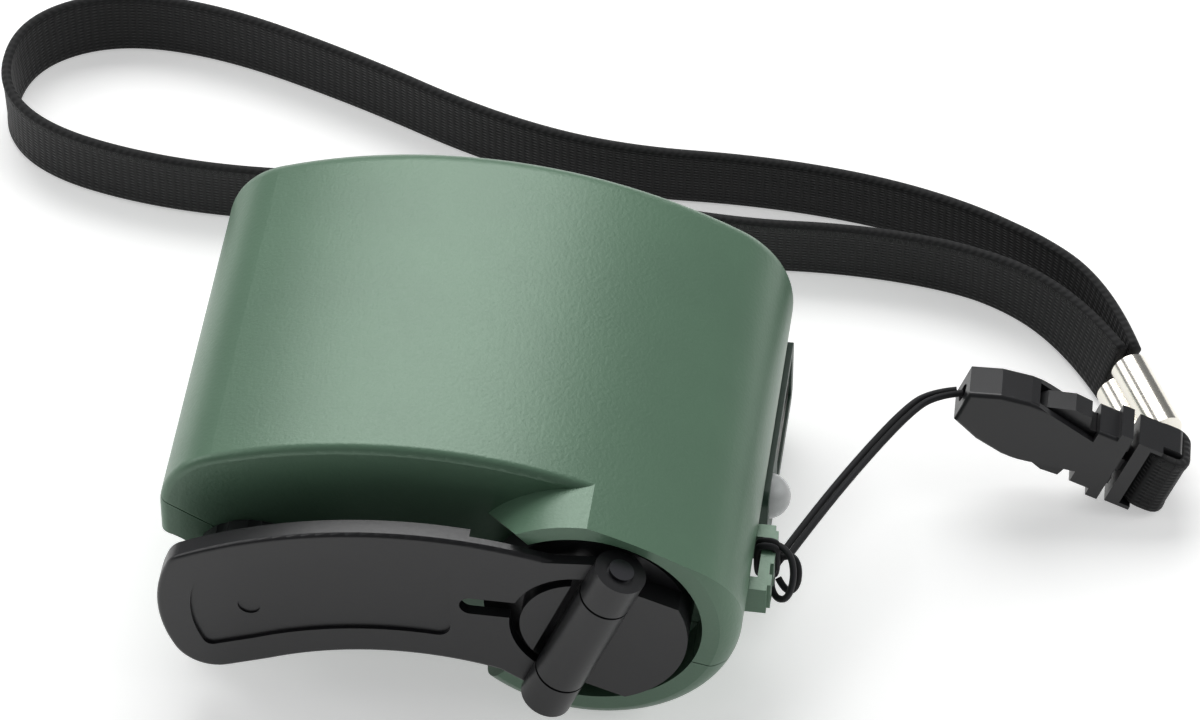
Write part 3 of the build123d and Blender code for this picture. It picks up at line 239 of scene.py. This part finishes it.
strap_route = [
    (66.3, 31.8), (62.8, 41.3), (53.5, 49.2), (40.0, 54.2), (24.0, 56.2), (6.0, 55.6), (-9.0, 59.0),
    (-26.0, 66.6), (-43.0, 72.4), (-56.0, 72.8), (-64.6, 67.0), (-65.4, 57.0), (-59.6, 50.2),
    (-47.0, 46.8), (-32.0, 46.2), (-16.0, 48.6), (2.0, 48.0), (20.0, 45.8), (36.0, 46.8), (50.5, 44.8),
    (60.3, 38.4), (65.0, 31.4),
]
strand_route = [
    (32.95, -7.8, 12.6), (35.6, -1.4, 12.6), (39.5, 7.2, 12.4), (43.4, 14.6, 12.4), (46.0, 17.5, 12.7),
    (49.0, 17.9, 13.1),
]

buckle_axes = (Matrix.Rotation(BUCKLE_TURN, 3, "Z") @ Matrix.Rotation(BUCKLE_PITCH, 3, "Y")
               @ Matrix.Rotation(BUCKLE_ROLL, 3, "X"))
buckle_across = buckle_axes @ Vector((0, 0, 1))


def spline_curve(name, points, radius=0.0):
    """A smooth cord: one open NURBS spline through control points in millimetres."""
    data = bpy.data.curves.new(name, "CURVE")
    data.dimensions = "3D"
    data.resolution_u = 16
    spline = data.splines.new("NURBS")
    spline.points.add(len(points) - 1)
    for target, point in zip(spline.points, points):
        target.co = (*(c * MM for c in point), 1)
    spline.order_u = 3
    spline.use_endpoint_u = True
    data.bevel_depth = radius * MM
    data.bevel_resolution = 4
    made = bpy.data.objects.new(name, data)
    bpy.context.scene.collection.objects.link(made)
    return made


def line_of(points):
    """The places along the smooth line of a route, in millimetres."""
    guide = spline_curve("guide", points)
    sampled = bpy.data.meshes.new_from_object(guide)
    places = [vertex.co / MM for vertex in sampled.vertices]
    bpy.data.objects.remove(guide)
    bpy.data.meshes.remove(sampled)
    return places


def mesh_object(name, vertices, faces, uvs=None):
    """A mesh piece from points in millimetres, with texture places in millimetres if given."""
    data = bpy.data.meshes.new(name)
    data.from_pydata([tuple(c * MM for c in v) for v in vertices], [], faces)
    if uvs:
        layer = data.uv_layers.new(name="along_and_across")
        for loop in data.loops:
            layer.data[loop.index].uv = uvs[loop.vertex_index]
    data.validate()
    for polygon in data.polygons:
        polygon.use_smooth = True
    made = bpy.data.objects.new(name, data)
    bpy.context.scene.collection.objects.link(made)
    return made


EDGE_STEPS = 6
# Shifts the weave of a tape's second face, so that its two faces don't mirror each other.
FACE_SHIFT = 40


def tape_section(width, thickness):
    """The outline of a tape: two flat faces, a raised selvedge at each edge, and round edges."""
    half_w, half_t = width / 2, thickness / 2
    bulge = half_t * 0.8
    edge = []
    for step in range(EDGE_STEPS + 1):
        turn = math.pi * step / EDGE_STEPS
        edge.append((half_w - bulge + bulge * math.sin(turn), half_t * math.cos(turn)))
    flats = [half_w * share for share in (0.72, 0.6, 0.2, -0.2, -0.6, -0.72)]
    dip = [0.92, 0.8, 0.8, 0.8, 0.8, 0.92]
    far_edge = [(-w, -t) for w, t in edge]
    near_face = [(w, -half_t * d) for w, d in zip(flats, dip)]
    far_face = [(-w, half_t * d) for w, d in zip(flats, dip)]
    return edge + near_face + far_edge + far_face


def tape(name, centres, ups, width, thickness, closed=False):
    """A woven tape along a line of centres; ups gives the direction of its width at each."""
    section = tape_section(width, thickness)
    vertices, faces, uvs = [], [], []
    count, around = len(centres), len(section)
    along = 0.0
    for i, centre in enumerate(centres):
        before = centres[i - 1] if i or closed else centres[0]
        after = centres[(i + 1) % count] if i < count - 1 or closed else centres[-1]
        tangent = (after - before).normalized()
        up = (ups[i] - tangent * ups[i].dot(tangent)).normalized()
        side = tangent.cross(up)
        along += (centre - centres[i - 1]).length if i else 0.0
        for j, (w, t) in enumerate(section):
            vertices.append(centre + up * w + side * t)
            uvs.append((along, w + FACE_SHIFT * (j > around / 2)))
    for i in range(count if closed else count - 1):
        ring, following = i * around, ((i + 1) % count) * around
        for j in range(around):
            k = (j + 1) % around
            faces.append((ring + j, ring + k, following + k, following + j))
    if not closed:
        faces.append(tuple(range(around - 1, -1, -1)))
        faces.append(tuple((count - 1) * around + j for j in range(around)))
    return mesh_object(name, vertices, faces, uvs)


def make_wrist_strap():
    """The long loop of woven tape, on its edge on the table, leaning where it enters the sleeve."""
    centres = line_of([(x, y, STRAP_HEIGHT) for x, y in strap_route])
    count = len(centres)
    ups = []
    for i in range(count):
        from_end = min(i, count - 1 - i) / count
        lean = max(0.0, 1 - from_end / LEAN_REACH) * LEAN
        sway = SWAY * math.sin(9.0 * i / count + 0.7)
        ups.append((Vector((sway, -sway, 1)) * (1 - lean) + buckle_across * lean).normalized())
    strap = tape("strap_webbing", centres, ups, STRAP_WIDTH * 0.99, STRAP_THICKNESS)
    strap.data.materials.append(finishes["strap_fabric"])
    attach(strap, "housing")
    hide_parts("wrist_strap")


def make_thin_cord():
    """Two thin braided strands from the lug to the buckle's nose, lying side by side."""
    for side in (-1, 1):
        shift = side * (STRAND_RADIUS + STRAND_GAP)
        points = [(x + 0.9 * shift, y - 0.44 * shift, z) for x, y, z in strand_route]
        strand = spline_curve(f"cord_strand_{'near' if side > 0 else 'far'}", points, STRAND_RADIUS)
        strand.data.materials.append(finishes["cord_fabric"])
        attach(strand, "housing")
        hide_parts("lanyard_cord")
        line = line_of(points)


# The slack of the hitch, in loops that stand out beside the lug.
hitch_loops = [
    [(32.3, -8.4, 14.6), (33.6, -9.4, 14.9), (34.3, -11.2, 13.2), (33.8, -12.2, 10.6), (32.5, -11.6, 9.6),
     (31.6, -10.2, 10.4), (32.0, -9.0, 12.2), (32.9, -8.0, 12.8)],
    [(32.4, -9.4, 10.6), (33.4, -10.4, 9.4), (34.6, -10.4, 10.6), (34.6, -9.2, 12.6), (33.6, -8.3, 13.4),
     (32.6, -8.6, 12.9)],
]
HITCH_BEND = 0.45


def make_hitch():
    """The cow hitch: two turns side by side round the lug's bar, with the slack bight beside them."""
    low, high = (Vector(corner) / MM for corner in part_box("lanyard_hitch"))
    left, right = low.x + STRAND_RADIUS, high.x - STRAND_RADIUS
    under, over = low.z + STRAND_RADIUS, high.z - STRAND_RADIUS
    around_bar = [(left, under + HITCH_BEND), (left, over - HITCH_BEND), (left + HITCH_BEND, over),
                  (right - HITCH_BEND, over), (right, over - HITCH_BEND), (right, under + HITCH_BEND),
                  (right - HITCH_BEND, under), (left + HITCH_BEND, under)]
    middle = (low.y + high.y) / 2
    pieces = []
    for turn, place in enumerate((middle - STRAND_RADIUS, middle + STRAND_RADIUS), start=1):
        ring = spline_curve(f"hitch_turn_{turn}", [(x, place, z) for x, z in around_bar], STRAND_RADIUS)
        ring.data.splines[0].use_endpoint_u = False
        ring.data.splines[0].use_cyclic_u = True
        pieces.append(ring)
    for number, points in enumerate(hitch_loops, start=1):
        pieces.append(spline_curve(f"hitch_loop_{number}", points, STRAND_RADIUS))
    for piece in pieces:
        piece.data.materials.append(finishes["cord_fabric"])
        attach(piece, "housing")
        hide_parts("lanyard_hitch")


def in_buckle(x, y, z=0.0):
    """A place along the buckle's own length, thickness and width, in millimetres on the table."""
    return BUCKLE_NOSE + buckle_axes @ Vector((x, y, z))


def make_strap_end():
    """The tape that comes from the sleeve, through the plug's slot and round its end bar."""
    half = BUCKLE_THICKNESS / 2
    half_tape = STRAP_THICKNESS / 2
    clear = 0.1
    left, right = WEBBING_SLOT + clear + half_tape, PLUG_END + clear + half_tape
    near, far = -half + half_tape, half + clear + half_tape
    corner, corner_steps = 1.3, 5
    centres = []
    for cx, cy, start in ((right - corner, near + corner, -90), (right - corner, far - corner, 0),
                          (left + corner, far - corner, 90), (left + corner, near + corner, 180)):
        for step in range(corner_steps + 1):
            turn = math.radians(start + 90 * step / corner_steps)
            centres.append(in_buckle(cx + corner * math.cos(turn), cy + corner * math.sin(turn)))
    made = tape("strap_end_loop", centres, [buckle_across] * len(centres), WEBBING_WIDTH,
                STRAP_THICKNESS * 0.98, closed=True)
    made.data.materials.append(finishes["strap_fabric"])
    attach(made, "housing")
    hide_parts("strap_end")


make_strap_end()
make_wrist_strap()
make_hitch()
make_thin_cord()
edge_radii = {"buckle_plug": 0.25, "latch_arm_upper": 0.2, "latch_arm_lower": 0.2, "crank_hub": 0.15,
              "crimp_sleeve": 0.3}
for moulded, edge in edge_radii.items():
    soften_edges(moulded, edge)


# ---- table, light and camera --------------------------------------------------------------------
TABLE_GLOW = 0.42
TABLE_REACH = 3000.0


def make_table():
    """A pale table top under everything, white to the camera and to what reflects it."""
    material, tree, shader = new_material("pale_laminate")
    mottle(tree, shader, "#f4f4f3", "#efefee", patch=40.0, grain=1.0, depth=0.01)
    shader.inputs["Roughness"].default_value = 0.9
    shader.inputs["Specular IOR Level"].default_value = 0.1
    shader.inputs["Emission Color"].default_value = (1, 1, 1, 1)
    path = add(tree, "ShaderNodeLightPath")
    seen = add(tree, "ShaderNodeMath", {0: path.outputs["Is Camera Ray"], 1: path.outputs["Is Glossy Ray"]},
               operation="MAXIMUM")
    glow = add(tree, "ShaderNodeMath", {0: seen.outputs[0], 1: TABLE_GLOW}, operation="MULTIPLY")
    tree.links.new(glow.outputs[0], shader.inputs["Emission Strength"])
    reach = TABLE_REACH
    corners = [(-reach, -reach, 0), (reach, -reach, 0), (reach, reach, 0), (-reach, reach, 0)]
    top = mesh_object("table_top", corners, [(0, 1, 2, 3)])
    top.data.materials.append(material)


def softbox(name, place, aim, width, height, power):
    """A large soft lamp that points at a place, both in millimetres."""
    data = bpy.data.lights.new(name, "AREA")
    data.shape = "RECTANGLE"
    data.size = width * MM
    data.size_y = height * MM
    data.energy = power
    made = bpy.data.objects.new(name, data)
    made.location = Vector(place) * MM
    made.rotation_euler = (Vector(aim) - Vector(place)).to_track_quat("-Z", "Y").to_euler()
    bpy.context.scene.collection.objects.link(made)


def make_lights():
    softbox("overhead", (-100, 400, 500), (0, 10, 20), 480, 380, 2.7)
    softbox("left_side", (-520, 20, 300), (0, 10, 15), 380, 300, 0.75)
    softbox("right_side", (520, 60, 300), (0, 10, 15), 380, 300, 0.75)
    world = bpy.data.worlds.new("studio")
    world.use_nodes = True
    tree = world.node_tree
    tree.nodes["Background"].inputs["Color"].default_value = hex_to_linear("#f6f8fa")
    tree.nodes["Background"].inputs["Strength"].default_value = 0.2
    bpy.context.scene.world = world


def make_camera():
    """The photograph's view: azimuth, elevation and distance about the point in its middle."""
    azimuth, elevation = math.radians(7.8), math.radians(46.45)
    distance = 660.0
    middle = Vector((12.57, -3.89, 35.56))
    back = Vector((math.sin(azimuth) * math.cos(elevation), -math.cos(azimuth) * math.cos(elevation),
                   math.sin(elevation)))
    data = bpy.data.cameras.new("camera")
    data.sensor_width = 36.0
    data.lens = 190.2
    made = bpy.data.objects.new("camera", data)
    made.location = (middle + back * distance) * MM
    made.rotation_euler = Euler((math.pi / 2 - elevation, 0, azimuth))
    bpy.context.scene.collection.objects.link(made)
    bpy.context.scene.camera = made


make_table()
make_lights()
make_camera()
bpy.context.scene.view_settings.view_transform = "Standard"
